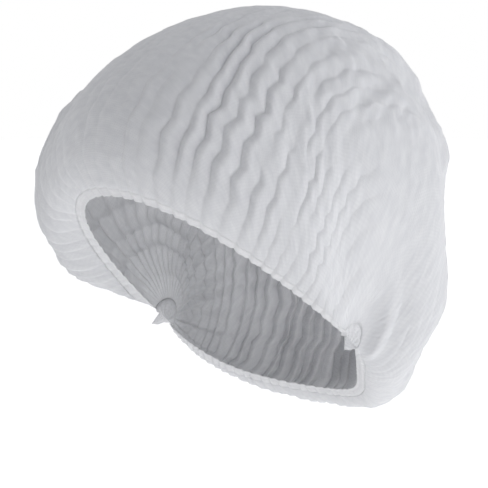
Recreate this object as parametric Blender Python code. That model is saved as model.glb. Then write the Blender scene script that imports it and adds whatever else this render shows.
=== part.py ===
# Disposable strip cap, worn: a pleated sheet of white nonwoven drawn in by an elastic hem
# in front and one at the nape, with both of its ends welded into small tabs at the ears.
# The wearer looks along -Y and has the left ear on +X. The origin is midway between the tabs.
import math
import random
from collections import namedtuple

import bpy
import numpy as np

# Sizes of the worn cap, in metres
TAB_SPAN = 0.156            # from one end tab to the other
RISE = 0.1915               # top of the crown above the line through the tabs
REACH = 0.1235              # how far the crown reaches before and behind that line
HALF_WIDTH = 0.1145         # crown at its widest, from the middle
WALL = 0.001                # nonwoven of the crown
HEM_WIDTH = 0.0066          # channel round the elastic
HEM_WIDTH_AT_TAB = 0.0036
HEM_THICKNESS = 0.0024
TAB_DROP = 0.0045           # tab's lower edge below the line through the tabs
TAB_WIDTH = 0.0095
TAB_FORWARD = 0.0005        # lower edge before the middle of the tab
TAB_FLARE = 0.0032          # lower edge stands out, over the end of the rear hem
TAB_THICKNESS = 0.0024
TAB_CURL = 0.0006           # waviness of the tab's lower edge
TAB_NECK = 0.72             # tab between the ends of the two hems, as a share of that space
TAB_CRIMP = 0.18            # how much thinner the tab is between its crimped ribs
TAB_RIM = 0.75              # thickness of the tab's upper and lower edge, as a share
TAB_LOOP_FROM = 0.02        # part of the loop of cloth that the tab fills
TAB_LOOP_TO = 0.88
TAB_CLEARANCE = 0.00039     # between a tab and its loop of cloth
CLEARANCE = 0.0003          # between a hem and the crown

# Gathers and zigzags
GATHER_COUNT = 29
COLUMNS_PER_GATHER = 4
GATHER_DEPTH = 0.0030
GATHER_DEPTH_AT_HEM = 0.0009
GATHER_SPREAD = 0.32        # how unequal the gathers are, as a share of their width
ZIGZAG = 0.30               # sideways step between fold lines, as a share of a gather
SCALLOP = 0.0010
BEAD_PINCH = 0.3            # how much thinner the hem is in the scallops' notches
FOLD_FADE = 0.07            # share of the way from a hem over which the folds grow
BEAT = 0.25                 # how much the depth of a gather comes and goes along it
BEAT_RATE = 9.0
BEAT_OFFSET = 2.3           # from one gather to the next
FAN_DEPTH = 0.0022          # folds that fan out from a tab
FAN_FOLDS = 4
FAN_AT = 0.86               # side where they are deepest
FAN_REACH = 0.07
CROWN_ROWS = 18
CROWN_CROWDING = 0.35       # how much closer the rows lie towards the hems
TAB_RIBS = 3

# Slack cloth that bags out and sags below the hem on the wearer's right. Where it is and how
# far it reaches are shares of the way from the front hem to the nape.
SLACK_OUT = 0.016
SLACK_FORWARD = 0.010
SLACK_DOWN = 0.024
SLACK_AT = 0.14
SLACK_REACH = 0.13
SLACK_FROM_HEM = 0.04
SLACK_LEAN = 1.1            # 1 puts the bag midway between brow and tab, more nearer the tab
SAG_AT = 0.07
SAG_REACH = 0.09
SAG_FROM_HEM = 0.03
SAG_LEAN = 1.3
BAG_SLOPE = 1.4             # how softly the bag starts at the sides

# Plain form between the tabs
FULLNESS = 2.12             # 2 is a plain ellipse from tab to tab, more is squarer
TAB_LOOP = 0.055            # loop of cloth round a tab, as a share of the middle profile
TAB_DIMPLE = 0.32           # how far the dimple round a tab reaches
SPREAD_AT_HEM = 1.40        # spacing of the gathers in the middle of a hem and of the
SPREAD_ON_CROWN = 0.95      # crown, where 1 is even turning from tab to tab
HEM_ZONE = 0.10             # share of the way over which the hem's spacing holds
NAPE_ZONE = 0.40            # last share of the way, which tucks under at the nape
NAPE_TUCK = math.radians(-18)
SEED = 7

# Middle profile from the front hem over the top to the nape hem.
# depth is a share of REACH, height of RISE and half of HALF_WIDTH.
Station = namedtuple("Station", "depth height half")
PROFILE = (
    Station(-0.92, 0.445, 0.66),
    Station(-0.98, 0.50, 0.76),
    Station(-1.01, 0.59, 0.86),
    Station(-0.94, 0.725, 0.925),
    Station(-0.68, 0.87, 0.96),
    Station(-0.24, 0.98, 0.985),
    Station(0.285, 1.00, 0.99),
    Station(0.80, 0.87, 1.00),
    Station(0.98, 0.56, 0.975),
    Station(0.905, 0.18, 0.915),
    Station(0.79, -0.095, 0.855),
    Station(0.68, -0.24, 0.78),
    Station(0.52, -0.27, 0.68),
    Station(0.41, -0.205, 0.61),
)

# Section of a hem channel. over is a share of its width from the free edge, off a share of
# half its thickness.
Corner = namedtuple("Corner", "over off")
HEM_SECTION = (
    Corner(0.0, 0.0),
    Corner(0.25, 1.0),
    Corner(0.80, 1.0),
    Corner(1.0, 0.0),
    Corner(0.50, -1.0),
)

# Broad dents and swells of the crown. side runs from -1 at the right tab to 1 at the left,
# along from 0 at the front hem to 1 at the nape hem, size is in the same units, push in metres.
Dent = namedtuple("Dent", "side along size push")
DENTS = (
    Dent(0.10, 0.52, 0.14, -0.0024),
    Dent(0.47, 0.525, 0.08, -0.0115),
    Dent(0.46, 0.6, 0.06, 0.0080),
    Dent(0.62, 0.66, 0.09, -0.0055),
    Dent(0.46, 0.69, 0.06, -0.0040),
    Dent(0.65, 0.76, 0.09, 0.0070),
    Dent(0.60, 0.87, 0.08, -0.0045),
    Dent(-0.27, 0.17, 0.08, -0.0050),
    Dent(-0.56, 0.08, 0.06, -0.0040),
    Dent(-0.38, 0.34, 0.14, -0.0035),
    Dent(-0.60, 0.55, 0.14, 0.0040),
    Dent(-0.45, 0.80, 0.12, -0.0040),
    Dent(0.80, 0.22, 0.09, -0.0040),
)


def rounded_line(stations, steps):
    """Smooth line through the stations, in metres, with the distance along its side view."""
    sizes = (REACH, RISE, HALF_WIDTH)
    knots = [tuple(share * size for share, size in zip(row, sizes)) for row in stations]
    knots = np.array(knots)
    knots = np.vstack([2 * knots[0] - knots[1], knots, 2 * knots[-1] - knots[-2]])
    u = np.linspace(0.0, 1.0, steps, endpoint=False)[:, None]
    runs = []
    for a, b, c, d in zip(knots, knots[1:], knots[2:], knots[3:]):
        bend = (2 * a - 5 * b + 4 * c - d) * u ** 2 + (3 * b - a - 3 * c + d) * u ** 3
        runs.append(0.5 * (2 * b + (c - a) * u + bend))
    line = np.vstack(runs + [knots[-2:-1]])
    way = np.hypot(np.diff(line[:, 0]), np.diff(line[:, 1]))
    return line, np.concatenate([[0.0], np.cumsum(way)])


LINE, WAY = rounded_line(PROFILE, 40)


def swell(value, centre, width):
    """Round bump of height one."""
    return np.exp(-((value - centre) / width) ** 2)


def form(side, along):
    """Point of the cap's plain form; side is -1 to 1, along is 0 to 1 from hem to hem."""
    side, along = np.broadcast_arrays(np.asarray(side, float), np.asarray(along, float))
    at = along * WAY[-1]
    depth, height, half = (np.interp(at, WAY, LINE[:, k]) for k in range(3))
    near_hem = swell(np.minimum(along, 1.0 - along), 0.0, HEM_ZONE)
    first = SPREAD_ON_CROWN + (SPREAD_AT_HEM - SPREAD_ON_CROWN) * near_hem
    share = first * np.abs(side) + (1.0 - first) * side ** 2
    last = math.asin((1.0 - TAB_LOOP ** FULLNESS) ** (1.0 / FULLNESS))
    across = np.sin(np.sign(side) * share * last)
    reach = (1.0 - np.abs(across) ** FULLNESS) ** (1.0 / FULLNESS)
    pinch = 1.0 - (1.0 - TAB_SPAN / 2 / half) * swell(reach, 0.0, TAB_DIMPLE)
    x = half * across / math.sin(last) * pinch
    tuck = NAPE_TUCK * np.clip((along - 1.0) / NAPE_ZONE + 1.0, 0.0, 1.0) * (1.0 - reach)
    y = reach * (depth * np.cos(tuck) - height * np.sin(tuck))
    z = reach * (depth * np.sin(tuck) + height * np.cos(tuck))
    right = np.clip(-side, 0.0, 1.0)
    slack = swell(along, SLACK_AT, SLACK_REACH) * (1.0 - swell(along, 0.0, SLACK_FROM_HEM))
    slack = slack * np.sin(math.pi * right ** SLACK_LEAN) ** BAG_SLOPE
    sag = swell(along, SAG_AT, SAG_REACH) * (1.0 - swell(along, 0.0, SAG_FROM_HEM))
    sag = sag * np.sin(math.pi * right ** SAG_LEAN) ** BAG_SLOPE
    x = x - SLACK_OUT * slack
    y = y - SLACK_FORWARD * slack
    return np.stack([x, y, z - SLACK_DOWN * sag], -1)


def outward(side, along):
    """Outward direction of the plain form."""
    step = 0.0015
    across = form(side + step, along) - form(side - step, along)
    back = form(side, along + step) - form(side, along - step)
    normal = np.cross(across, back)
    return level_at_tab(normal, side)


def level_at_tab(normal, side):
    """Unit directions, turned straight out sideways where the cloth meets a tab."""
    normal = normal / np.linalg.norm(normal, axis=-1, keepdims=True)
    part = swell(np.abs(side), 1.0, 0.05)[..., None]
    normal = normal * (1.0 - part) + np.sign(side)[..., None] * part * np.array([1.0, 0.0, 0.0])
    return normal / np.linalg.norm(normal, axis=-1, keepdims=True)


def gather_edges():
    """Side position of every column, four to a gather, with gathers of unequal width."""
    rng = random.Random(SEED)
    widths = [1.0 + rng.uniform(-GATHER_SPREAD, GATHER_SPREAD) for _ in range(GATHER_COUNT)]
    edges = np.concatenate([[0.0], np.cumsum(widths)])
    edges = 2.0 * edges / edges[-1] - 1.0
    columns = np.arange(GATHER_COUNT * COLUMNS_PER_GATHER + 1) / COLUMNS_PER_GATHER
    heights = np.array([rng.uniform(0.55, 1.0) for _ in range(GATHER_COUNT + 1)])
    return np.interp(columns, np.arange(GATHER_COUNT + 1), edges), columns, heights


SIDES, COLUMNS, HEIGHTS = gather_edges()


def zigzag_steps():
    """Sideways step of each row of the crown, left and right by turns and none at the hems."""
    rng = random.Random(SEED + 1)
    steps = [(-1) ** row * rng.uniform(0.5, 1.2) for row in range(CROWN_ROWS + 1)]
    steps[0] = steps[-1] = 0.0
    return steps


STEPS = zigzag_steps()


def distance_table(side):
    """Shares from hem to hem against the distance from the front hem on one column."""
    shares = np.linspace(0.0, 1.0, 500)
    points = form(side, shares)
    steps = np.linalg.norm(np.diff(points, axis=0), axis=1)
    return shares, np.concatenate([[0.0], np.cumsum(steps)])


TABLES = [distance_table(side) for side in SIDES]


def hem_width(side):
    """Width of a hem channel, narrower where it runs into a tab."""
    open_part = np.clip((1.0 - abs(side)) / 0.16, 0.0, 1.0)
    open_part = open_part * open_part * (3.0 - 2.0 * open_part)
    return HEM_WIDTH_AT_TAB + (HEM_WIDTH - HEM_WIDTH_AT_TAB) * open_part


def share_at(column, distance, from_nape):
    """Share from hem to hem at a distance from one of the hems."""
    shares, ways = TABLES[column]
    if from_nape:
        distance = ways[-1] - distance
    return float(np.interp(distance, ways, shares))


def rise_of_folds(column, side, along):
    """How far the cloth stands off the plain form."""
    gather = min(int(COLUMNS[column]), GATHER_COUNT - 1)
    wave = math.sin(2 * math.pi * COLUMNS[column])
    from_hem = min(along, 1.0 - along)
    body = 1.0 - math.exp(-(from_hem / FOLD_FADE) ** 2)
    depth = GATHER_DEPTH_AT_HEM + (GATHER_DEPTH - GATHER_DEPTH_AT_HEM) * body
    beat = 1.0 - BEAT + BEAT * math.sin(BEAT_RATE * along + BEAT_OFFSET * gather)
    off_tab = 1.0 - abs(side) ** 6
    rise = depth * HEIGHTS[gather] * beat * wave * off_tab
    near_tab = swell(abs(side), FAN_AT, FAN_REACH)
    rise += FAN_DEPTH * near_tab * body * math.cos(2 * math.pi * FAN_FOLDS * along)
    for dent in DENTS:
        off = math.hypot(side - dent.side, along - dent.along) / dent.size
        rise += dent.push * math.exp(-off * off) * off_tab * body
    return rise


def cloth_point(column, along, zigzag=0.0):
    """Point on the folded cloth."""
    side = SIDES[column]
    gather_width = 2.0 / GATHER_COUNT
    shifted = side + zigzag * ZIGZAG * gather_width * (1.0 - abs(side) ** 4)
    lift = rise_of_folds(column, side, along)
    return form(shifted, along) + outward(shifted, along) * lift


def grid_normals(points):
    """Outward direction at every point of a grid of the cloth."""
    across = np.gradient(points, axis=1)
    back = np.gradient(points, axis=0)
    return level_at_tab(np.cross(across, back), np.broadcast_to(SIDES, points.shape[:2]))


def closed_sheet(outer, inner):
    """Points and faces of a closed sheet between two grids."""
    rows, cols = outer.shape[:2]
    points = np.vstack([outer.reshape(-1, 3), inner.reshape(-1, 3)])
    faces = []
    under = rows * cols
    for r in range(rows - 1):
        for c in range(cols - 1):
            a, b = r * cols + c, r * cols + c + 1
            e, f = a + cols, b + cols
            faces.append((a, b, f, e))
            faces.append((under + a, under + e, under + f, under + b))
    rim = [c for c in range(cols)]
    rim += [r * cols + cols - 1 for r in range(1, rows)]
    rim += [(rows - 1) * cols + c for c in range(cols - 2, -1, -1)]
    rim += [r * cols for r in range(rows - 2, 0, -1)]
    for a, b in zip(rim, rim[1:] + rim[:1]):
        faces.append((b, a, under + a, under + b))
    return points, faces


def closed_tube(sections):
    """Points and faces of a closed tube through a row of ring sections."""
    count, around = sections.shape[:2]
    points = sections.reshape(-1, 3)
    faces = []
    for k in range(count - 1):
        for j in range(around):
            n = (j + 1) % around
            faces.append((k * around + j, k * around + n, (k + 1) * around + n, (k + 1) * around + j))
    faces.append(tuple(range(around - 1, -1, -1)))
    faces.append(tuple((count - 1) * around + j for j in range(around)))
    return points, faces


def facing_out(points, faces):
    """The same faces, turned so that the body's volume is positive."""
    volume = 0.0
    for face in faces:
        for k in range(1, len(face) - 1):
            a, b, c = (points[face[0]], points[face[k]], points[face[k + 1]])
            volume += float(np.dot(a, np.cross(b, c)))
    return faces if volume > 0 else [tuple(reversed(face)) for face in faces]


def add_piece(name, points, faces, colour, roughness):
    """One named piece with its own material."""
    mesh = bpy.data.meshes.new(name)
    mesh.from_pydata([tuple(float(v) for v in p) for p in points], [], facing_out(points, faces))
    mesh.update()
    piece = bpy.data.objects.new(name, mesh)
    bpy.context.scene.collection.objects.link(piece)
    material = bpy.data.materials.new(name + "_material")
    material.use_nodes = True
    shader = material.node_tree.nodes["Principled BSDF"]
    shader.inputs["Base Color"].default_value = (*colour, 1.0)
    shader.inputs["Roughness"].default_value = roughness
    mesh.materials.append(material)
    return piece


def make_crown():
    """Gathered sheet between the two hems."""
    u = np.linspace(0.0, 1.0, CROWN_ROWS + 1)
    spacing = u - CROWN_CROWDING * np.sin(2 * math.pi * u) / (2 * math.pi)
    grid = np.zeros((CROWN_ROWS + 1, len(SIDES), 3))
    for column, side in enumerate(SIDES):
        edge = hem_width(side) + CLEARANCE
        front = share_at(column, edge, False)
        nape = share_at(column, edge, True)
        for row, part in enumerate(spacing):
            grid[row, column] = cloth_point(column, front + (nape - front) * part, STEPS[row])
    normals = grid_normals(grid)
    half = WALL / 2
    points, faces = closed_sheet(grid + normals * half, grid - normals * half)
    return add_piece("crown", points, faces, (0.86, 0.86, 0.88), 0.85)


def make_hem(name, from_nape):
    """Gathered channel with its elastic, scalloped along its free edge."""
    sections = np.zeros((len(SIDES), len(HEM_SECTION), 3))
    for column, side in enumerate(SIDES):
        width = hem_width(side)
        bead = 0.5 - 0.5 * math.sin(2 * math.pi * COLUMNS[column])
        notch = SCALLOP * bead * (1.0 - abs(side) ** 6)
        for k, (over, off) in enumerate(HEM_SECTION):
            distance = notch + over * (width - notch)
            along = share_at(column, distance, from_nape)
            thick = HEM_THICKNESS / 2 * off * (1.0 - BEAD_PINCH * bead)
            sections[column, k] = cloth_point(column, along) + outward(side, along) * thick
    points, faces = closed_tube(sections)
    return add_piece(name, points, faces, (0.90, 0.90, 0.91), 0.80)


def make_tab(name, hand):
    """Welded end of the strip: crimped flat inside its loop of cloth and hanging a little."""
    columns = 4 * TAB_RIBS
    loop = form(hand, np.linspace(TAB_LOOP_FROM, TAB_LOOP_TO, columns + 1))
    hub = loop.mean(axis=0)
    ends = form(hand, np.array([0.0, 1.0]))
    waist = ends.mean(axis=0)
    rows = 4
    outer = np.zeros((rows + 1, columns + 1, 3))
    inner = outer.copy()
    for c in range(columns + 1):
        share = c / columns
        inward = hub - loop[c]
        top = loop[c] + inward * TAB_CLEARANCE / np.linalg.norm(inward)
        neck = waist + (ends[1] - ends[0]) * TAB_NECK * (share - 0.5)
        foot = waist + np.array([0.0, TAB_WIDTH * (share - 0.5) - TAB_FORWARD, 0.0])
        foot[0] += hand * TAB_FLARE
        foot[2] = -TAB_DROP + TAB_CURL * math.cos(4 * math.pi * share)
        crimp = 1.0 - TAB_CRIMP + TAB_CRIMP * math.cos(2 * math.pi * TAB_RIBS * share)
        for r in range(rows + 1):
            down = 2 * r / rows
            point = top + (neck - top) * min(down, 1.0) + (foot - neck) * max(down - 1.0, 0.0)
            half = TAB_THICKNESS / 2 * crimp * (TAB_RIM if r in (0, rows) else 1.0)
            outer[r, c] = point + np.array([hand * half, 0.0, 0.0])
            inner[r, c] = point - np.array([hand * half, 0.0, 0.0])
    points, faces = closed_sheet(outer, inner)
    return add_piece(name, points, faces, (0.88, 0.88, 0.89), 0.55)


for old in list(bpy.data.objects):
    bpy.data.objects.remove(old, do_unlink=True)

make_crown()
make_hem("front_hem", False)
make_hem("rear_hem", True)
make_tab("end_tab_left", 1.0)
make_tab("end_tab_right", -1.0)
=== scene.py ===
import math
import bmesh
import bpy
import numpy as np
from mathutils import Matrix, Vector


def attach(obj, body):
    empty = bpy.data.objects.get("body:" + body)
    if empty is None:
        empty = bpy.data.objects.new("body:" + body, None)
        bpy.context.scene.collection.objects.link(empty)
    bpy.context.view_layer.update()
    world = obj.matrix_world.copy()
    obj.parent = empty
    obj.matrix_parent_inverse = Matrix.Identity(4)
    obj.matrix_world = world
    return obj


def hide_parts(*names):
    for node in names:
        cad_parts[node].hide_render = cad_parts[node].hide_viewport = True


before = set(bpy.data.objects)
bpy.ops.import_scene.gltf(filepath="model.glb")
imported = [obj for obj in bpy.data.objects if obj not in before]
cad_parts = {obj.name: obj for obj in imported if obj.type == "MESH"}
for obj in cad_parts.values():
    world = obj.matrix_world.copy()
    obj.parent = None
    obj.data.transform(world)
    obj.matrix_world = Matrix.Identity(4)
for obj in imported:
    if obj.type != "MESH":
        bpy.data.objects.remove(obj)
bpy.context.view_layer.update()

print("frame loaded")

# Form of the worn cap, in metres. The wearer looks along -Y, +X is the wearer's left.
cap = {
    "tabSpan": 0.156,       # from end tab to end tab
    "rise": 0.1915,         # top of the crown above the line through the tabs
    "reach": 0.1235,        # how far it reaches before and behind that line
    "halfWidth": 0.1145,
    "fullness": 2.12,       # 2 is an ellipse from tab to tab
    "tabLoop": 0.055,
    "tabDimple": 0.32,
    "hemSpread": 1.40,
    "crownSpread": 0.95,
    "hemZone": 0.10,        # share of the way over which the hem's spacing holds
    "napeFrom": 0.6,        # the last share of the way tucks under
    "napeTuck": math.radians(-18),
    "slackOut": 0.016,      # loose cloth on the wearer's right
    "slackForward": 0.010,
    "slackDown": 0.024,
    "slackAt": (0.14, 0.13, 0.04),      # where along it bulges, how far, and how far it keeps from the hem
    "sagAt": (0.07, 0.09, 0.03),
    "slackLean": 1.1,       # 1 puts the bag midway between brow and tab, more nearer the tab
    "sagLean": 1.3,
    "bagSlope": 1.4,        # how softly the bag starts at the sides
    "hemWidth": 0.0066,
    "hemWidthAtTab": 0.0036,
    "hemTaper": 0.16,       # share of a half hem over which it narrows to the tab
    "seam": 0.0001,         # between the crown and its hems
    "cloth": 0.0004,        # thickness
    "flat": (0.505, 0.53),  # crown sheet before pleating: tab to tab, hem to hem
}
# side profile from the front hem over the top to the nape hem, as shares of reach, rise and half width
profile = [
    (-0.92, 0.445, 0.66), (-0.98, 0.50, 0.76), (-1.01, 0.59, 0.86), (-0.94, 0.725, 0.925),
    (-0.68, 0.87, 0.96), (-0.24, 0.98, 0.985), (0.285, 1.00, 0.99), (0.80, 0.87, 1.00),
    (0.98, 0.56, 0.975), (0.905, 0.18, 0.915), (0.79, -0.095, 0.855), (0.68, -0.24, 0.78),
    (0.52, -0.27, 0.68), (0.41, -0.205, 0.61),
]


def roundedProfile(steps=40):
    knots = np.array(profile) * (cap["reach"], cap["rise"], cap["halfWidth"])
    knots = np.vstack([2 * knots[0] - knots[1], knots, 2 * knots[-1] - knots[-2]])
    u = np.linspace(0, 1, steps, endpoint=False)[:, None]
    runs = []
    for a, b, c, d in zip(knots, knots[1:], knots[2:], knots[3:]):
        bend, twist = 2 * a - 5 * b + 4 * c - d, 3 * b - a - 3 * c + d
        runs.append(0.5 * (2 * b + (c - a) * u + bend * u ** 2 + twist * u ** 3))
    line = np.vstack(runs + [knots[-2:-1]])
    way = np.cumsum(np.hypot(np.diff(line[:, 0]), np.diff(line[:, 1])))
    return line, np.concatenate([[0], way])


profileLine, profileWay = roundedProfile()


def bump(value, centre, width):
    return np.exp(-((value - centre) / width) ** 2)


def bagShape(along, right, place, lean):
    at, reach, fromHem = place
    across = np.sin(math.pi * right ** lean) ** cap["bagSlope"]
    return bump(along, at, reach) * (1 - bump(along, 0, fromHem)) * across


def capForm(side, along):
    # side runs -1 to 1 from tab to tab, along runs 0 to 1 from the front hem to the nape hem
    side, along = np.broadcast_arrays(np.asarray(side, float), np.asarray(along, float))
    at = along * profileWay[-1]
    depth, height, half = (np.interp(at, profileWay, profileLine[:, k]) for k in range(3))
    nearHem = bump(np.minimum(along, 1 - along), 0, cap["hemZone"])
    first = cap["crownSpread"] + (cap["hemSpread"] - cap["crownSpread"]) * nearHem
    share = first * np.abs(side) + (1 - first) * side ** 2
    full = cap["fullness"]
    last = math.asin((1 - cap["tabLoop"] ** full) ** (1 / full))
    across = np.sin(np.sign(side) * share * last)
    reach = (1 - np.abs(across) ** full) ** (1 / full)
    pinch = 1 - (1 - cap["tabSpan"] / 2 / half) * bump(reach, 0, cap["tabDimple"])
    x = half * across / math.sin(last) * pinch
    tuck = cap["napeTuck"] * np.clip((along - cap["napeFrom"]) / (1 - cap["napeFrom"]), 0, 1) * (1 - reach)
    y = reach * (depth * np.cos(tuck) - height * np.sin(tuck))
    z = reach * (depth * np.sin(tuck) + height * np.cos(tuck))
    right = np.clip(-side, 0, 1)
    slack = bagShape(along, right, cap["slackAt"], cap["slackLean"])
    sag = bagShape(along, right, cap["sagAt"], cap["sagLean"])
    x, y, z = x - cap["slackOut"] * slack, y - cap["slackForward"] * slack, z - cap["slackDown"] * sag
    return np.stack([x, y, z], -1)


def levelAtTab(normal, side):
    # close to a tab every way out points straight sideways
    normal = normal / np.linalg.norm(normal, axis=-1, keepdims=True)
    part = bump(np.abs(side), 1, 0.05)[..., None]
    normal = normal * (1 - part) + np.sign(side)[..., None] * part * np.array([1.0, 0, 0])
    return normal / np.linalg.norm(normal, axis=-1, keepdims=True)


def capOut(side, along, step=0.0015):
    side, along = np.broadcast_arrays(np.asarray(side, float), np.asarray(along, float))
    normal = np.cross(capForm(side + step, along) - capForm(side - step, along),
                      capForm(side, along + step) - capForm(side, along - step))
    return levelAtTab(normal, side)


def softNoise(x, y, seed):
    # smooth hills and hollows between -1 and 1, one unit apart
    table = np.random.default_rng(seed).uniform(-1, 1, (64, 64))
    x, y = np.broadcast_arrays(np.asarray(x, float), np.asarray(y, float))
    i, j = np.floor(x).astype(int), np.floor(y).astype(int)
    a, b = x - i, y - j
    a, b = a * a * (3 - 2 * a), b * b * (3 - 2 * b)
    i, j, i2, j2 = i % 64, j % 64, (i + 1) % 64, (j + 1) % 64
    return ((table[i, j] * (1 - a) + table[i2, j] * a) * (1 - b)
            + (table[i, j2] * (1 - a) + table[i2, j2] * a) * b)


# broad dents and swells of the crown: side, along, size, push
dents = ((0.10, 0.52, 0.14, -0.0024), (0.47, 0.525, 0.08, -0.0115), (0.46, 0.6, 0.06, 0.0080),
         (0.60, 0.655, 0.12, -0.0095), (0.46, 0.69, 0.06, -0.0040), (0.65, 0.76, 0.09, 0.0070),
         (0.60, 0.87, 0.08, -0.0045), (-0.27, 0.17, 0.08, -0.0050), (-0.56, 0.08, 0.06, -0.0040),
         (-0.38, 0.34, 0.14, -0.0035), (-0.60, 0.55, 0.14, 0.0040), (-0.45, 0.80, 0.12, -0.0040),
         (0.80, 0.22, 0.09, -0.0040))

# Gathers run from hem to hem, and the fold lines of the strip cross them from tab to tab
gathering = {
    "gathers": 40,
    "columns": (0, 0.05, 0.11, 0.20, 0.34, 0.52, 0.72, 0.89),   # mesh columns, closest at the valley
    "uneven": 0.16,
    "foldLines": 46,
    "foldRows": 3,          # mesh rows from one fold line to the next
    "foldUneven": 0.24,
    "zigzag": 0.15,         # sideways step at a fold line, as a share of a gather
    "depth": 0.0052,        # crest to valley on the crown
    "depthAtHem": 0.0011,
    "broad": 0.0016,        # neighbouring gathers that join into wider folds
    "fan": 0.0042,          # folds that open from the tabs
    "fanAt": (0.80, 0.16),  # side where they are deepest, and how far they reach
    "crease": 0.0005,       # what is left of them over the crown
    "browTo": (0.20, 0.12),         # where the brow's strength gives way to the top's, and how softly
    "napeFrom": (0.52, 0.14),
    "napeEase": (0.30, 0.84, 0.10),     # how much shallower towards the nape hem, from where, how softly
    "comeAndGo": ((1.0, 13, 4), (0.7, 34, 5)),  # how much a gather's depth varies, how often, seed
    "calmRight": 0.3,       # share of that on the wearer's right
    "wander": (0.30, 8),    # sideways drift of a gather in gathers, and how often
    "seed": 21,
    # the valleys that show most: number of the first, and the side of each
    "seen": (23, (0.142, 0.199, 0.252, 0.299, 0.351, 0.411, 0.473, 0.530, 0.577, 0.618, 0.657)),
}
crumples = {
    "height": 0.0010,
    "plain": 0.45,                              # share of it everywhere
    "front": (1.3, 0.52, 0.16, 0.36, 0.13),     # how much more there, then side and reach, over and reach
    "back": (0.9, 0.67, 0.07, 0.74, 0.12),
    "smoothTab": (0.9, 0.82, 0.11),             # how much less there, side, reach
}
# the cloth that swells round the left tab; front is the share of it before the tab
tabSwell = {"height": 0.0034, "side": 0.944, "reach": 0.025, "front": 0.5, "from": 0.3}
# how strong the gathers are from the right tab to the left one: over the brow, over the top and at the nape
browStrength = ((-1, 0.6), (-0.80, 1.1), (-0.60, 1.6), (-0.38, 0.55), (-0.10, 0.16), (0.08, 0.22),
                (0.17, 0.40), (0.23, 0.70), (0.38, 0.72), (0.48, 0.45), (0.60, 0.30), (0.72, 0.22),
                (0.85, 0.22), (1, 0.5))
topStrength = ((-1, 0.7), (-0.78, 1.4), (-0.40, 1.9), (-0.12, 0.4), (0.10, 0.24), (0.22, 0.50), (0.36, 0.44),
               (0.45, 0.20), (0.55, 0.10), (0.80, 0.06), (0.92, 0.1), (1, 0.6))
napeStrength = ((-1, 0.3), (-0.84, 0.5), (-0.66, 1.0), (-0.50, 1.5), (-0.32, 2.05), (0.25, 2.05), (0.5, 0.55),
                (0.62, 0.12), (0.8, 0.06), (1, 0.4))
# sideways drift of the gathers on their way up from the brow, as shares
drift = ((0, 0), (0.02, 0), (0.07, 0.060), (0.13, 0.085), (0.20, 0.040), (0.25, -0.025), (0.31, -0.080),
         (0.40, -0.095), (0.60, -0.060), (0.85, -0.01), (1, 0))


def knotted(value, knots):
    # smooth run through a few knots
    at, height = np.array(knots, float).T
    value = np.asarray(value, float)
    soft = [np.interp(value + shift, at, height) for shift in (-0.03, -0.01, 0.01, 0.03)]
    return sum(soft) / 4


def gatherColumns():
    g = gathering
    rng = np.random.default_rng(g["seed"])
    edges = np.arange(g["gathers"] + 1) + rng.uniform(-g["uneven"], g["uneven"], g["gathers"] + 1)
    edges = np.interp(edges, (edges[0], edges[-1]), (-1, 1))
    first, seen = g["seen"]
    edges[first:first + len(seen)] = seen
    phase = np.append((np.arange(g["gathers"])[:, None] + g["columns"]).ravel(), g["gathers"])
    return np.interp(phase, np.arange(g["gathers"] + 1), edges), phase


def foldLines():
    g = gathering
    rng = np.random.default_rng(g["seed"] + 1)
    count = g["foldLines"]
    at = (np.arange(count) + 0.5 + rng.uniform(-g["foldUneven"], g["foldUneven"], count)) / count
    step = np.where(np.arange(count) % 2 == 0, 1.0, -1.0) * rng.uniform(0.3, 1.15, count)
    return np.concatenate([[0], at, [1]]), np.concatenate([[0], step, [0]])


sides, phases = gatherColumns()
foldAt, foldStep = foldLines()


def foldWave(over):
    # straight runs from one fold line to the next, up and down by turns
    return np.interp(over, foldAt, foldStep)


def crownRows():
    split = np.arange(gathering["foldRows"]) / gathering["foldRows"]
    rows = [a + (b - a) * split for a, b in zip(foldAt, foldAt[1:])]
    return np.concatenate(rows + [[1.0]])


def alongTables(columns):
    shares = np.linspace(0, 1, 400)
    points = capForm(columns[:, None], shares[None, :])
    ways = np.linalg.norm(np.diff(points, axis=1), axis=-1)
    return shares, np.concatenate([np.zeros((len(columns), 1)), np.cumsum(ways, axis=1)], axis=1)


def hemWidths(columns):
    part = np.clip((1 - np.abs(columns)) / cap["hemTaper"], 0, 1)
    part = part * part * (3 - 2 * part)
    return cap["hemWidthAtTab"] + (cap["hemWidth"] - cap["hemWidthAtTab"]) * part


def shareAt(tables, distance, fromNape):
    shares, ways = tables
    goal = ways[:, -1] - distance if fromNape else distance
    return np.array([np.interp(goal[k], ways[k], shares) for k in range(len(goal))])


def fadeAfter(value, place):
    # 1 up to a place, then a soft fall to 0
    return np.exp(-np.clip((value - place[0]) / place[1], 0, None) ** 2)


def gatherStrength(side, phase, over):
    g = gathering
    body = 1 - np.exp(-(np.minimum(over, 1 - over) / 0.045) ** 2)
    brow = fadeAfter(over, g["browTo"])
    nape = 1 - fadeAfter(over, g["napeFrom"])
    strength = knotted(side, browStrength) * brow + knotted(side, topStrength) * (1 - brow)
    strength = strength * (1 - nape) + knotted(side, napeStrength) * nape
    wild = np.where(side < -0.1, g["calmRight"], 1.0)
    (much, often, seed), (muchFine, oftenFine, seedFine) = g["comeAndGo"]
    life = 0.85 + wild * (much * softNoise(phase + 3, over * often, seed)
                          + muchFine * softNoise(phase + 17, over * oftenFine, seedFine))
    atHem = g["depthAtHem"] / g["depth"]
    ease, easeFrom, easeOver = g["napeEase"]
    strength = strength * (1 - ease * np.clip((over - easeFrom) / easeOver, 0, 1))
    gathered = (atHem * (1 - body) + np.clip(life, 0.06, 1.4) * strength * body) * (1 - np.abs(side) ** 8)
    return gathered, strength, body


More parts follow.
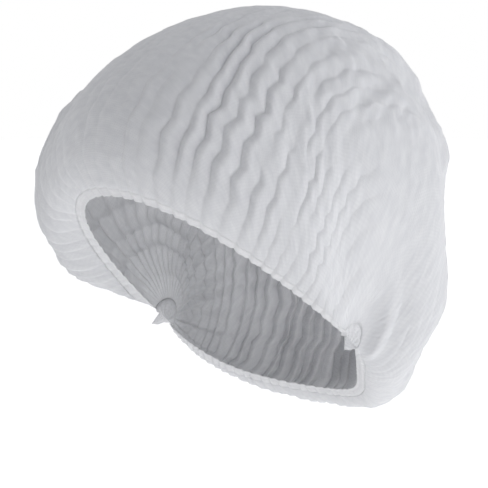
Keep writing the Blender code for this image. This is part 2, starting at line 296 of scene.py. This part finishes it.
def fanFolds(side, over, strength, body):
    # folds that open from the tabs, and what is left of them over the crown
    g = gathering
    hidden = np.where(side < 0, 1 - 0.40 * bump(np.maximum(over, 0.84), 0.84, 0.12), 0.05)
    uneven = 0.85 + 0.6 * softNoise(side * 9, over * 14, 7)
    fan = g["fan"] * hidden * bump(np.abs(side), *g["fanAt"]) * uneven
    crease = g["crease"] * np.minimum(strength, 1.2)
    fan += crease * (1 - 0.9 * bump(side, 0.9, 0.30)) * (1 - 0.6 * bump(side, -1, 0.25))
    return fan * foldWave(over) * (1 - bump(np.abs(side), 1, 0.05)) * (0.15 + 0.85 * body)


def extraAt(side, over, place):
    much, atSide, reachSide, atOver, reachOver = place
    return much * bump(side, atSide, reachSide) * bump(over, atOver, reachOver)


def crumpled(side, phase, over, inside):
    c = crumples
    less, smoothFrom, reach = c["smoothTab"]
    height = c["height"] * inside * (c["plain"] + extraAt(side, over, c["front"]))
    smooth = 1 - less * bump(np.minimum(smoothFrom, np.abs(side)), smoothFrom, reach)
    height *= smooth * (1 + extraAt(side, over, c["back"]))
    ridge = 1 - 2 * np.abs(softNoise(phase * 0.8 + 0.5 * foldWave(over), over * 30 + phase * 0.9, 8))
    return height * (ridge + 0.5 * softNoise(phase * 2.1, over * 62, 9))


def clothPoints(side, phase, along, over):
    # the cloth before its gathers, with the way out of it and the strength of the gathers; over runs 0 to 1
    # between the hems
    g = gathering
    offTab = 1 - np.abs(side) ** 4
    offHem = 1 - np.exp(-(np.minimum(over, 1 - over) / 0.03) ** 2)
    wander = g["wander"][0] * softNoise(phase * 0.35 + 11, over * g["wander"][1], 10)
    step = g["zigzag"] * foldWave(over) * (0.85 + 0.8 * softNoise(phase, over * 16, 12)) + wander
    swing = knotted(over, drift) * np.exp(-np.clip((0.30 - side) / 0.22, 0, None) ** 2)
    moved = side + (2 / g["gathers"] * step * offHem + swing) * offTab
    gathered, strength, body = gatherStrength(side, phase, over)
    inside = body * (1 - np.abs(side) ** 8)
    rise = g["broad"] * inside * strength * softNoise(phase * 0.5 + 7, over * 6, 6)
    rise += fanFolds(side, over, strength, body)
    rise += crumpled(side, phase, over, inside)
    # the cloth swells round the left tab, most on its nape side
    swell = tabSwell["front"] + (1 - tabSwell["front"]) * np.clip((along - tabSwell["from"]) / 0.3, 0, 1)
    rise += tabSwell["height"] * bump(side, tabSwell["side"], tabSwell["reach"]) * swell * body
    for atSide, atAlong, size, push in dents:
        near = np.exp(-((side - atSide) ** 2 + (along - atAlong) ** 2) / size ** 2)
        rise += push * near * body * (1 - np.abs(side) ** 24)
    out = capOut(moved, along)
    return capForm(moved, along) + out * rise[..., None], out, gathered


def maths(tree, operation, a, b=None):
    # a Math node whose inputs are sockets or numbers
    node = tree.nodes.new("ShaderNodeMath")
    node.operation = operation
    for socket, value in zip(node.inputs, (a, b)):
        if isinstance(value, (int, float)):
            socket.default_value = value
        elif value is not None:
            tree.links.new(value, socket)
    return node.outputs[0]


# Spunbond nonwoven: small oval bond points in staggered rows, fibres between them and thin and thick clouds
def newGroup(name, inputs, outputs):
    group = bpy.data.node_groups.new(name, "ShaderNodeTree")
    for label, kind, value in inputs:
        socket = group.interface.new_socket(name=label, in_out="INPUT", socket_type=kind)
        if value is not None:
            socket.default_value = value
    for label in outputs:
        group.interface.new_socket(name=label, in_out="OUTPUT", socket_type="NodeSocketFloat")
    return group, group.nodes.new("NodeGroupInput"), group.nodes.new("NodeGroupOutput")


def mapRange(tree, value, fromRange, toRange=(0, 1), soft=False):
    node = tree.nodes.new("ShaderNodeMapRange")
    node.interpolation_type = "SMOOTHSTEP" if soft else "LINEAR"
    node.inputs["From Min"].default_value, node.inputs["From Max"].default_value = fromRange
    node.inputs["To Min"].default_value, node.inputs["To Max"].default_value = toRange
    tree.links.new(value, node.inputs["Value"])
    return node.outputs["Result"]


def bondGroup():
    group, given, output = newGroup("bondPattern", (("Vector", "NodeSocketVector", None),
                                                    ("Across", "NodeSocketFloat", 0.0016),
                                                    ("Along", "NodeSocketFloat", 0.0013)), ("Bond",))
    split = group.nodes.new("ShaderNodeSeparateXYZ")
    group.links.new(given.outputs["Vector"], split.inputs[0])
    row = maths(group, "DIVIDE", split.outputs[1], given.outputs["Along"])
    stagger = maths(group, "MULTIPLY", maths(group, "FLOOR", row), 0.5)
    column = maths(group, "ADD", maths(group, "DIVIDE", split.outputs[0], given.outputs["Across"]), stagger)
    x = maths(group, "SUBTRACT", maths(group, "FRACT", column), 0.5)
    y = maths(group, "MULTIPLY", maths(group, "SUBTRACT", maths(group, "FRACT", row), 0.5), 1.35)
    square = maths(group, "ADD", maths(group, "MULTIPLY", x, x), maths(group, "MULTIPLY", y, y))
    spot = mapRange(group, maths(group, "SQRT", square), (0.20, 0.34), (1, 0), soft=True)
    group.links.new(spot, output.inputs["Bond"])
    return group


def stretchedNoise(group, vector, turn, stretch, scale, detail):
    place = group.nodes.new("ShaderNodeMapping")
    place.inputs["Rotation"].default_value = (0, 0, turn)
    place.inputs["Scale"].default_value = stretch
    noise = group.nodes.new("ShaderNodeTexNoise")
    noise.inputs["Scale"].default_value, noise.inputs["Detail"].default_value = scale, detail
    group.links.new(vector, place.inputs["Vector"])
    group.links.new(place.outputs["Vector"], noise.inputs["Vector"])
    return noise.outputs["Fac"]


def fibreGroup():
    group, given, output = newGroup("fibreMottle", (("Vector", "NodeSocketVector", None),
                                                    ("Fineness", "NodeSocketFloat", 1.0)), ("Fibre", "Cloud"))
    scaled = group.nodes.new("ShaderNodeVectorMath")
    scaled.operation = "SCALE"
    group.links.new(given.outputs["Vector"], scaled.inputs[0])
    group.links.new(given.outputs["Fineness"], scaled.inputs["Scale"])
    vector = scaled.outputs[0]
    first = stretchedNoise(group, vector, 0.5, (0.16, 1, 1), 1500, 2)
    second = stretchedNoise(group, vector, -0.8, (0.16, 1, 1), 1300, 2)
    fibre = maths(group, "MAXIMUM", first, second)
    cloud = stretchedNoise(group, vector, 0.2, (0.6, 1, 1), 190, 4)
    group.links.new(fibre, output.inputs["Fibre"])
    group.links.new(cloud, output.inputs["Cloud"])
    return group


bondPattern, fibreMottle = bondGroup(), fibreGroup()


def makeNonwoven(name, look):
    material = bpy.data.materials.new(name)
    material.use_nodes = True
    nodes, links = material.node_tree.nodes, material.node_tree.links
    shader = nodes["Principled BSDF"]
    shader.inputs["Subsurface Weight"].default_value = look["soft"]
    shader.inputs["Subsurface Radius"].default_value = (1, 1, 1)
    shader.inputs["Subsurface Scale"].default_value = 0.004
    shader.inputs["Sheen Weight"].default_value = look["sheen"]
    shader.inputs["Sheen Roughness"].default_value = 0.6
    shader.inputs["IOR"].default_value = 1.49
    place = nodes.new("ShaderNodeUVMap")
    place.uv_map = "clothMap"
    bond, fibre = nodes.new("ShaderNodeGroup"), nodes.new("ShaderNodeGroup")
    bond.node_tree, fibre.node_tree = bondPattern, fibreMottle
    bond.inputs["Across"].default_value, bond.inputs["Along"].default_value = look["bond"]
    fibre.inputs["Fineness"].default_value = look["fineness"]
    links.new(place.outputs["UV"], bond.inputs["Vector"])
    links.new(place.outputs["UV"], fibre.inputs["Vector"])
    tree = material.node_tree
    mass = maths(tree, "ADD", maths(tree, "MULTIPLY", fibre.outputs["Cloud"], 0.7),
                 maths(tree, "MULTIPLY", fibre.outputs["Fibre"], 0.3))
    cloth = nodes.new("ShaderNodeMix")
    cloth.data_type = "RGBA"
    cloth.inputs["A"].default_value, cloth.inputs["B"].default_value = (*look["thin"], 1), (*look["thick"], 1)
    links.new(mapRange(tree, mass, (0.38, 0.66)), cloth.inputs["Factor"])
    dots = nodes.new("ShaderNodeMix")
    dots.data_type = "RGBA"
    dots.inputs["B"].default_value = (*look["dot"], 1)
    links.new(maths(tree, "MULTIPLY", bond.outputs["Bond"], 0.6), dots.inputs["Factor"])
    links.new(cloth.outputs["Result"], dots.inputs["A"])
    links.new(dots.outputs["Result"], shader.inputs["Base Color"])
    links.new(mapRange(tree, bond.outputs["Bond"], (0, 1), look["rough"]), shader.inputs["Roughness"])
    relief = nodes.new("ShaderNodeBump")
    relief.inputs["Distance"].default_value = look["relief"]
    relief.inputs["Strength"].default_value = 0.5
    pressed = maths(tree, "MULTIPLY", bond.outputs["Bond"], 0.8)
    links.new(maths(tree, "SUBTRACT", fibre.outputs["Fibre"], pressed), relief.inputs["Height"])
    links.new(relief.outputs["Normal"], shader.inputs["Normal"])
    return material


# colours of thin and thick places and of the bond points, roughness from cloth to bond point, and the spacing
# of the bond points in metres
crownLook = {"thin": (0.74, 0.745, 0.77), "thick": (0.84, 0.845, 0.86), "dot": (0.70, 0.705, 0.73),
             "rough": (0.88, 0.62), "bond": (0.0016, 0.0013), "fineness": 1.0, "relief": 0.00005,
             "soft": 0.35, "sheen": 0.25}
hemLook = {"thin": (0.77, 0.772, 0.79), "thick": (0.85, 0.85, 0.86), "dot": (0.73, 0.735, 0.75),
           "rough": (0.84, 0.60), "bond": (0.0016, 0.0013), "fineness": 1.0, "relief": 0.00005,
           "soft": 0.30, "sheen": 0.25}
tabLook = {"thin": (0.70, 0.705, 0.72), "thick": (0.80, 0.80, 0.815), "dot": (0.64, 0.645, 0.66),
           "rough": (0.66, 0.38), "bond": (0.0012, 0.0012), "fineness": 1.4, "relief": 0.00008,
           "soft": 0.30, "sheen": 0.10}
crownFinish = makeNonwoven("crownNonwoven", crownLook)
hemFinish = makeNonwoven("hemNonwoven", hemLook)
tabFinish = makeNonwoven("weldedNonwoven", tabLook)
print("materials made")


def meshFromGrid(name, points, closedAcross=False):
    rows, cols = points.shape[:2]
    faces = []
    for r in range(rows - 1 + closedAcross):
        n = (r + 1) % rows
        for c in range(cols - 1):
            faces.append((r * cols + c, r * cols + c + 1, n * cols + c + 1, n * cols + c))
    mesh = bpy.data.meshes.new(name)
    mesh.from_pydata(points.reshape(-1, 3).tolist(), [], faces)
    mesh.polygons.foreach_set("use_smooth", [True] * len(mesh.polygons))
    mesh.update()
    piece = bpy.data.objects.new(name, mesh)
    bpy.context.collection.objects.link(piece)
    return piece


def addClothMap(piece, flatU, flatV):
    # map in metres along the cloth
    layer = piece.data.uv_layers.new(name="clothMap")
    corner = np.zeros(len(piece.data.loops), int)
    piece.data.loops.foreach_get("vertex_index", corner)
    uv = np.stack([flatU.ravel()[corner], flatV.ravel()[corner]], -1)
    layer.data.foreach_set("uv", uv.ravel())


def solidSheet(piece, thickness):
    mod = piece.modifiers.new("sheet", "SOLIDIFY")
    mod.thickness, mod.offset, mod.use_even_offset = thickness, 0, False
    bpy.context.view_layer.update()
    done = bpy.data.meshes.new_from_object(piece.evaluated_get(bpy.context.evaluated_depsgraph_get()))
    piece.modifiers.remove(mod)
    piece.data = done


def newTree(name, sockets):
    tree = bpy.data.node_groups.new(name, "GeometryNodeTree")
    tree.interface.new_socket(name="Geometry", in_out="INPUT", socket_type="NodeSocketGeometry")
    tree.interface.new_socket(name="Geometry", in_out="OUTPUT", socket_type="NodeSocketGeometry")
    for label, kind, value in sockets:
        socket = tree.interface.new_socket(name=label, in_out="INPUT", socket_type=kind)
        if value is not None:
            socket.default_value = value
    return tree, tree.nodes.new("NodeGroupInput"), tree.nodes.new("NodeGroupOutput")


def named(tree, name, kind="FLOAT"):
    node = tree.nodes.new("GeometryNodeInputNamedAttribute")
    node.data_type = kind
    node.inputs["Name"].default_value = name
    return node.outputs["Attribute"]


def endTree(tree, geometry, material, output):
    real = tree.nodes.new("GeometryNodeRealizeInstances")
    finish = tree.nodes.new("GeometryNodeSetMaterial")
    tree.links.new(geometry, real.inputs["Geometry"])
    tree.links.new(real.outputs["Geometry"], finish.inputs["Geometry"])
    tree.links.new(material, finish.inputs["Material"])
    tree.links.new(finish.outputs["Geometry"], output.inputs["Geometry"])


def gatherTree():
    # lifts each point along the way out by the wave of the gathers: broad crests, narrow valleys
    tree, given, output = newTree("gatherFolds", (("Depth", "NodeSocketFloat", 0.005),
                                                  ("Lean", "NodeSocketFloat", 0.11),
                                                  ("Sharpness", "NodeSocketFloat", 0.30),
                                                  ("Level", "NodeSocketFloat", 0.74),
                                                  ("Material", "NodeSocketMaterial", None)))
    phase = named(tree, "phase")
    turn = maths(tree, "SUBTRACT", 1.0, maths(tree, "COSINE", maths(tree, "MULTIPLY", phase, 2 * math.pi)))
    leant = maths(tree, "ADD", phase, maths(tree, "MULTIPLY", turn, given.outputs["Lean"]))
    wave = maths(tree, "POWER", maths(tree, "SINE", maths(tree, "MULTIPLY", leant, math.pi)), 2)
    crest = maths(tree, "POWER", maths(tree, "ADD", wave, 0.004), given.outputs["Sharpness"])
    level = maths(tree, "SUBTRACT", crest, given.outputs["Level"])
    lift = maths(tree, "MULTIPLY", level, given.outputs["Depth"])
    lift = maths(tree, "MULTIPLY", lift, named(tree, "strength"))
    scale = tree.nodes.new("ShaderNodeVectorMath")
    scale.operation = "SCALE"
    tree.links.new(named(tree, "outward", "FLOAT_VECTOR"), scale.inputs[0])
    tree.links.new(lift, scale.inputs["Scale"])
    move = tree.nodes.new("GeometryNodeSetPosition")
    tree.links.new(given.outputs["Geometry"], move.inputs["Geometry"])
    tree.links.new(scale.outputs[0], move.inputs["Offset"])
    endTree(tree, move.outputs["Geometry"], given.outputs["Material"], output)
    return tree


def growByTree(piece, tree, values):
    mod = piece.modifiers.new(tree.name, "NODES")
    mod.node_group = tree
    for item in tree.interface.items_tree:
        if item.in_out == "INPUT" and item.name in values:
            mod[item.identifier] = values[item.name]
    bpy.context.view_layer.update()
    done = bpy.data.meshes.new_from_object(piece.evaluated_get(bpy.context.evaluated_depsgraph_get()))
    piece.modifiers.remove(mod)
    piece.data = done


def storePoints(piece, name, values, kind="FLOAT"):
    layer = piece.data.attributes.new(name, kind, "POINT")
    values = np.ascontiguousarray(values, dtype=np.float32).ravel()
    layer.data.foreach_set("vector" if kind == "FLOAT_VECTOR" else "value", values)


gatherFolds = gatherTree()


def makeCrown():
    tables = alongTables(sides)
    edge = hemWidths(sides) + cap["seam"]
    front, nape = shareAt(tables, edge, False), shareAt(tables, edge, True)
    over = np.broadcast_to(crownRows()[:, None], (len(crownRows()), len(sides)))
    along = front[None, :] + (nape - front)[None, :] * over
    side = np.broadcast_to(sides, along.shape)
    phase = np.broadcast_to(phases, along.shape)
    points, out, gathered = clothPoints(side, phase, along, over)
    crown = meshFromGrid("crownCloth", points)
    addClothMap(crown, (side + 1) / 2 * cap["flat"][0], (over - 0.5) * tables[1][:, -1])
    storePoints(crown, "phase", phase)
    storePoints(crown, "strength", gathered)
    storePoints(crown, "outward", out, "FLOAT_VECTOR")
    growByTree(crown, gatherFolds, {"Depth": gathering["depth"], "Material": crownFinish})
    return crown


crown = makeCrown()
solidSheet(crown, cap["cloth"])
print("crown cloth made,", len(crown.data.polygons), "faces")

# Hem: a channel folded round the elastic. Each stop is the distance from the free edge as a share of the
# width, the half thickness in metres, and how much of it comes and goes with the gathers.
hem = {
    "columns": 16,          # mesh columns to a gather
    "puckers": 2,           # puckers of the elastic edge to a gather
    "stops": ((0.0, 0.0, 0.0), (0.03, 0.00040, 0.1), (0.09, 0.00068, 0.2), (0.17, 0.00072, 0.2),
              (0.25, 0.00050, 0.2), (0.33, 0.00028, 0.2), (0.44, 0.00042, 0.7), (0.60, 0.00070, 0.8),
              (0.78, 0.00066, 0.8), (0.92, 0.00034, 0.6), (1.0, 0.00020, 0.0)),
    "elastic": 0.35,        # share of the width that the elastic's bead takes
    "beadBeat": 0.28,       # how much the bead comes and goes with the puckers
    "inside": 0.6,          # thickness of the inner side, as a share of the outer one
    "scallop": 0.0004,
    "pucker": 0.00026,
    "flatV": 0.016,         # cloth in the channel
}


def makeHem(name, fromNape):
    count = gathering["gathers"] * hem["columns"]
    phase = np.arange(count + 1) / hem["columns"]
    side = np.interp(phase, phases, sides)
    tables = alongTables(side)
    width = hemWidths(side)
    crest = np.abs(np.sin(math.pi * phase)) ** 0.76
    offTab = 1 - np.abs(side) ** 6
    uneven = 1 + 0.5 * softNoise(phase * 1.1, 0.5 + fromNape, 31)
    plain = 1 if fromNape else 0.5 + 0.5 * np.clip(side / 0.3, 0, 1)    # it lies flatter over the brow
    beat = np.sin(math.pi * hem["puckers"] * (phase + 0.12 * softNoise(phase * 0.7, 3.5, 32))) ** 2
    notch = (hem["scallop"] * (1 - crest) + hem["pucker"] * (1 - beat) * uneven) * offTab
    rings = []
    for over, half, breathe in hem["stops"]:
        swellUp = 1 - breathe + breathe * crest
        if over < hem["elastic"]:
            swellUp = swellUp * (1 - hem["beadBeat"] + hem["beadBeat"] * beat * uneven)
        rings.append((over, half * swellUp * plain))
    rings += [(over, -half * hem["inside"]) for over, half in rings[:0:-1]]
    grid, outs, lifts = [], [], []
    for over, half in rings:
        along = shareAt(tables, notch * (1 - over) + over * width, fromNape)
        spot, out, lift = clothPoints(side, phase, along, np.full(side.shape, float(fromNape)))
        grid.append(spot + out * np.broadcast_to(half, side.shape)[:, None])
        outs.append(out)
        lifts.append(lift)
    grid = np.array(grid)
    piece = meshFromGrid(name, grid, closedAcross=True)
    storePoints(piece, "phase", np.broadcast_to(phase, grid.shape[:2]))
    storePoints(piece, "strength", np.array(lifts))
    storePoints(piece, "outward", np.array(outs), "FLOAT_VECTOR")
    flatV = np.broadcast_to(np.linspace(0, hem["flatV"], len(rings))[:, None], grid.shape[:2])
    addClothMap(piece, np.broadcast_to((side + 1) / 2 * cap["flat"][0], grid.shape[:2]), flatV)
    closeEnds(piece, len(rings), count + 1)
    growByTree(piece, gatherFolds, {"Depth": gathering["depth"], "Material": hemFinish})
    return piece


def closeEnds(piece, around, long):
    # a face over each end of the channel, then all faces turned out
    work = bmesh.new()
    work.from_mesh(piece.data)
    work.verts.ensure_lookup_table()
    for end in (0, long - 1):
        work.faces.new([work.verts[r * long + end] for r in range(around)])
    bmesh.ops.recalc_face_normals(work, faces=work.faces)
    work.to_mesh(piece.data)
    work.free()


frontHem = makeHem("frontHemChannel", False)
rearHem = makeHem("rearHemChannel", True)
print("hems made")

tab = {
    "columns": 48, "rows": 26,
    "drop": 0.0032,         # lower edge of the flap below the line through the tabs
    "width": 0.0125,
    "forward": 0.0015,
    "flare": 0.0032,        # lower edge stands out
    "curl": 0.0004,         # waviness of the lower edge
    "thick": 0.0020,
    "neck": 0.90,           # between the ends of the two hems, as a share of that space
    "loop": (0.02, 0.88),   # part of the loop of cloth that it fills
    "ribs": 3,
    "crimp": 0.38,          # how much thinner it is between its crimped ribs
    "edge": 0.35,           # thickness of its edges, as a share
    "lap": 0.0020,          # how far the weld reaches under the pleats
    "sunk": 0.0007,         # and how deep it lies
    "dot": 0.00032,
    "dotHeight": 0.5,
    "map": (0.011, 0.014),  # cloth in the tab, across and down
}


def weldTree():
    # a low dot on every marked point of the plate
    tree, given, output = newTree("weldDots", (("Radius", "NodeSocketFloat", 0.0003),
                                               ("Height", "NodeSocketFloat", 0.5),
                                               ("Material", "NodeSocketMaterial", None)))
    dot = tree.nodes.new("GeometryNodeMeshIcoSphere")
    dot.inputs["Subdivisions"].default_value = 2
    tree.links.new(given.outputs["Radius"], dot.inputs["Radius"])
    size = tree.nodes.new("ShaderNodeCombineXYZ")
    size.inputs["X"].default_value, size.inputs["Y"].default_value = 1, 1
    tree.links.new(given.outputs["Height"], size.inputs["Z"])
    turn = tree.nodes.new("FunctionNodeAlignRotationToVector")
    turn.axis = "Z"
    tree.links.new(tree.nodes.new("GeometryNodeInputNormal").outputs["Normal"], turn.inputs["Vector"])
    place = tree.nodes.new("GeometryNodeInstanceOnPoints")
    tree.links.new(given.outputs["Geometry"], place.inputs["Points"])
    tree.links.new(maths(tree, "GREATER_THAN", named(tree, "weld"), 0.5), place.inputs["Selection"])
    tree.links.new(dot.outputs["Mesh"], place.inputs["Instance"])
    tree.links.new(turn.outputs["Rotation"], place.inputs["Rotation"])
    tree.links.new(size.outputs["Vector"], place.inputs["Scale"])
    both = tree.nodes.new("GeometryNodeJoinGeometry")
    tree.links.new(given.outputs["Geometry"], both.inputs["Geometry"])
    tree.links.new(place.outputs["Instances"], both.inputs["Geometry"])
    endTree(tree, both.outputs["Geometry"], given.outputs["Material"], output)
    return tree


weldDots = weldTree()


def makeTab(name, hand):
    columns, rows = tab["columns"], tab["rows"]
    loop = capForm(hand, np.linspace(*tab["loop"], columns + 1))
    hub = loop.mean(axis=0)
    ends = capForm(hand, np.array([0.0, 1.0]))
    waist = ends.mean(axis=0)
    outer, inner = [], []
    for r in range(rows + 1):
        down = 2 * r / rows
        rowOut, rowIn = [], []
        for c in range(columns + 1):
            share = c / columns
            inward = hub - loop[c]
            top = loop[c] - inward * tab["lap"] / np.linalg.norm(inward)
            top = top - np.array([hand * tab["sunk"], 0, 0])
            neck = waist + (ends[1] - ends[0]) * tab["neck"] * (share - 0.5)
            foot = waist + np.array([0, tab["width"] * (share - 0.5) - tab["forward"], 0])
            foot[0] += hand * tab["flare"]
            foot[2] = -tab["drop"] + tab["curl"] * math.cos(2.4 * math.pi * share)
            point = top + (neck - top) * min(down, 1) + (foot - neck) * max(down - 1, 0)
            ribs = math.cos(2 * math.pi * tab["ribs"] * share) ** 2 * min(1, 3 * (1 - r / rows))
            crimp = 1 - tab["crimp"] + tab["crimp"] * ribs
            rim = min(1.0, 5 * min(r, rows - r) / rows + tab["edge"])
            rim *= min(1.0, 8 * min(c, columns - c) / columns + tab["edge"])
            half = tab["thick"] / 2 * crimp * rim
            rowOut.append(point + np.array([hand * half, 0, 0]))
            rowIn.append(point - np.array([hand * half, 0, 0]))
        outer.append(rowOut)
        inner.append(rowIn)
    outer, inner = np.array(outer), np.array(inner)
    wide, high = tab["map"]
    across, down = np.meshgrid(np.linspace(0, wide, columns + 1), np.linspace(0, high, rows + 1))
    piece = meshFromGrid(name, outer)
    under = meshFromGrid(name + "Under", inner)
    addClothMap(piece, across, down)
    addClothMap(under, across, down)
    work = bmesh.new()
    work.from_mesh(piece.data)
    work.from_mesh(under.data)
    bmesh.ops.bridge_loops(work, edges=[e for e in work.edges if e.is_boundary])
    bmesh.ops.recalc_face_normals(work, faces=work.faces)
    work.to_mesh(piece.data)
    work.free()
    piece.data.polygons.foreach_set("use_smooth", [True] * len(piece.data.polygons))
    bpy.data.objects.remove(under)
    # rows of weld points on the outer face
    row, column = np.mgrid[0:rows + 1, 0:columns + 1]
    weld = (row % 3 == 1) & ((column + 2 * (row % 2)) % 4 == 2) & (row > 2)
    spots = np.zeros(len(piece.data.vertices))
    spots[:weld.size] = weld.ravel()
    storePoints(piece, "weld", spots)
    growByTree(piece, weldDots, {"Radius": tab["dot"], "Height": tab["dotHeight"], "Material": tabFinish})
    return piece


leftTab = makeTab("leftEndTab", 1.0)
rightTab = makeTab("rightEndTab", -1.0)
print("tabs made")

for piece, node, finish, slot in ((crown, "crown", crownFinish, "crown_nonwoven"),
                                  (frontHem, "front_hem", hemFinish, "hem_nonwoven"),
                                  (rearHem, "rear_hem", hemFinish, "hem_nonwoven"),
                                  (leftTab, "end_tab_left", tabFinish, "welded_nonwoven"),
                                  (rightTab, "end_tab_right", tabFinish, "welded_nonwoven")):
    piece.data.materials.clear()
    piece.data.materials.append(finish)
    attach(piece, "root")
    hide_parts(node)

# Studio
studio = {
    "azimuth": 45, "elevation": 5, "distance": 1.2,
    "scale": 0.00060,       # metres to a pixel at the cap
    "pixels": 488,
    "right": -0.0066, "up": 0.0516,     # middle of the picture, seen from the origin
    "floor": -0.42, "floorSize": 12,
    "floorGlow": 0.44, "floorSeen": 0.22,       # the second is added where the camera sees it
    "tentWay": (0.40, 0.70, -0.25), "tentDark": 0.24, "tentLight": 1.0, "tentCurve": 1.5,
    "tentColour": (0.955, 0.965, 1.0, 1),
    # azimuth, elevation, distance, size, watts
    "lights": {"softRight": (120, -26, 1.6, 0.8, 11.5), "fillRight": (100, 0, 1.6, 1.0, 2.0),
               "softLeft": (-80, 36, 1.8, 1.2, 4)},
    "lightsAim": 0.06,
}


def wayTo(azimuth, elevation):
    a, e = math.radians(azimuth), math.radians(elevation)
    return Vector((math.sin(a) * math.cos(e), -math.cos(a) * math.cos(e), math.sin(e)))


def makeCamera():
    a = math.radians(studio["azimuth"])
    back = wayTo(studio["azimuth"], studio["elevation"])
    right = Vector((math.cos(a), math.sin(a), 0))
    up = back.cross(right)
    target = right * studio["right"] + up * studio["up"]
    data = bpy.data.cameras.new("camera")
    data.sensor_width = 36
    data.lens = data.sensor_width * studio["distance"] / (studio["pixels"] * studio["scale"])
    camera = bpy.data.objects.new("camera", data)
    bpy.context.collection.objects.link(camera)
    camera.location = target + back * studio["distance"]
    camera.rotation_euler = (target - camera.location).to_track_quat("-Z", "Y").to_euler()
    bpy.context.scene.camera = camera


def makeLight(name, azimuth, elevation, distance, size, power):
    way = wayTo(azimuth, elevation)
    data = bpy.data.lights.new(name, "AREA")
    data.size, data.energy = size, power
    light = bpy.data.objects.new(name, data)
    bpy.context.collection.objects.link(light)
    light.location = way * distance + Vector((0, 0, studio["lightsAim"]))
    light.rotation_euler = (-way).to_track_quat("-Z", "Y").to_euler()


def makeWorld():
    # soft tent: brightest low behind on the right, darkest high in front on the left, white to the camera
    world = bpy.data.worlds.new("studio")
    bpy.context.scene.world = world
    world.use_nodes = True
    nodes, links = world.node_tree.nodes, world.node_tree.links
    nodes.clear()
    coords = nodes.new("ShaderNodeTexCoord")
    toLight = nodes.new("ShaderNodeVectorMath")
    toLight.operation = "DOT_PRODUCT"
    toLight.inputs[1].default_value = Vector(studio["tentWay"]).normalized()
    tree, curve = world.node_tree, studio["tentCurve"]
    ends = [studio[end] ** (1 / curve) for end in ("tentDark", "tentLight")]
    tent = nodes.new("ShaderNodeBackground")
    tent.inputs["Color"].default_value = studio["tentColour"]
    paper = nodes.new("ShaderNodeBackground")
    paper.inputs["Color"].default_value = (1, 1, 1, 1)
    seen = nodes.new("ShaderNodeLightPath")
    mix = nodes.new("ShaderNodeMixShader")
    out = nodes.new("ShaderNodeOutputWorld")
    links.new(coords.outputs["Generated"], toLight.inputs[0])
    spread = mapRange(tree, toLight.outputs["Value"], (-1, 1), ends)
    links.new(maths(tree, "POWER", spread, curve), tent.inputs["Strength"])
    links.new(seen.outputs["Is Camera Ray"], mix.inputs["Fac"])
    links.new(tent.outputs["Background"], mix.inputs[1])
    links.new(paper.outputs["Background"], mix.inputs[2])
    links.new(mix.outputs["Shader"], out.inputs["Surface"])


def makeFloor():
    far = studio["floorSize"]
    mesh = bpy.data.meshes.new("floor")
    mesh.from_pydata([(x * far, y * far, studio["floor"]) for x, y in ((-1, -1), (1, -1), (1, 1), (-1, 1))],
                     [], [(0, 1, 2, 3)])
    floor = bpy.data.objects.new("floor", mesh)
    bpy.context.collection.objects.link(floor)
    paint = bpy.data.materials.new("paleFloor")
    paint.use_nodes = True
    tree = paint.node_tree
    shader = tree.nodes["Principled BSDF"]
    shader.inputs["Base Color"].default_value = (0.9, 0.9, 0.9, 1)
    shader.inputs["Roughness"].default_value = 0.9
    shader.inputs["Emission Color"].default_value = (1, 1, 1, 1)
    seen = tree.nodes.new("ShaderNodeLightPath").outputs["Is Camera Ray"]
    glow = maths(tree, "ADD", maths(tree, "MULTIPLY", seen, studio["floorSeen"]), studio["floorGlow"])
    tree.links.new(glow, shader.inputs["Emission Strength"])
    mesh.materials.append(paint)
    return floor


makeCamera()
for name, values in studio["lights"].items():
    makeLight(name, *values)
makeWorld()
bpy.context.scene.view_settings.view_transform = "Standard"
floor = makeFloor()
print("studio set")
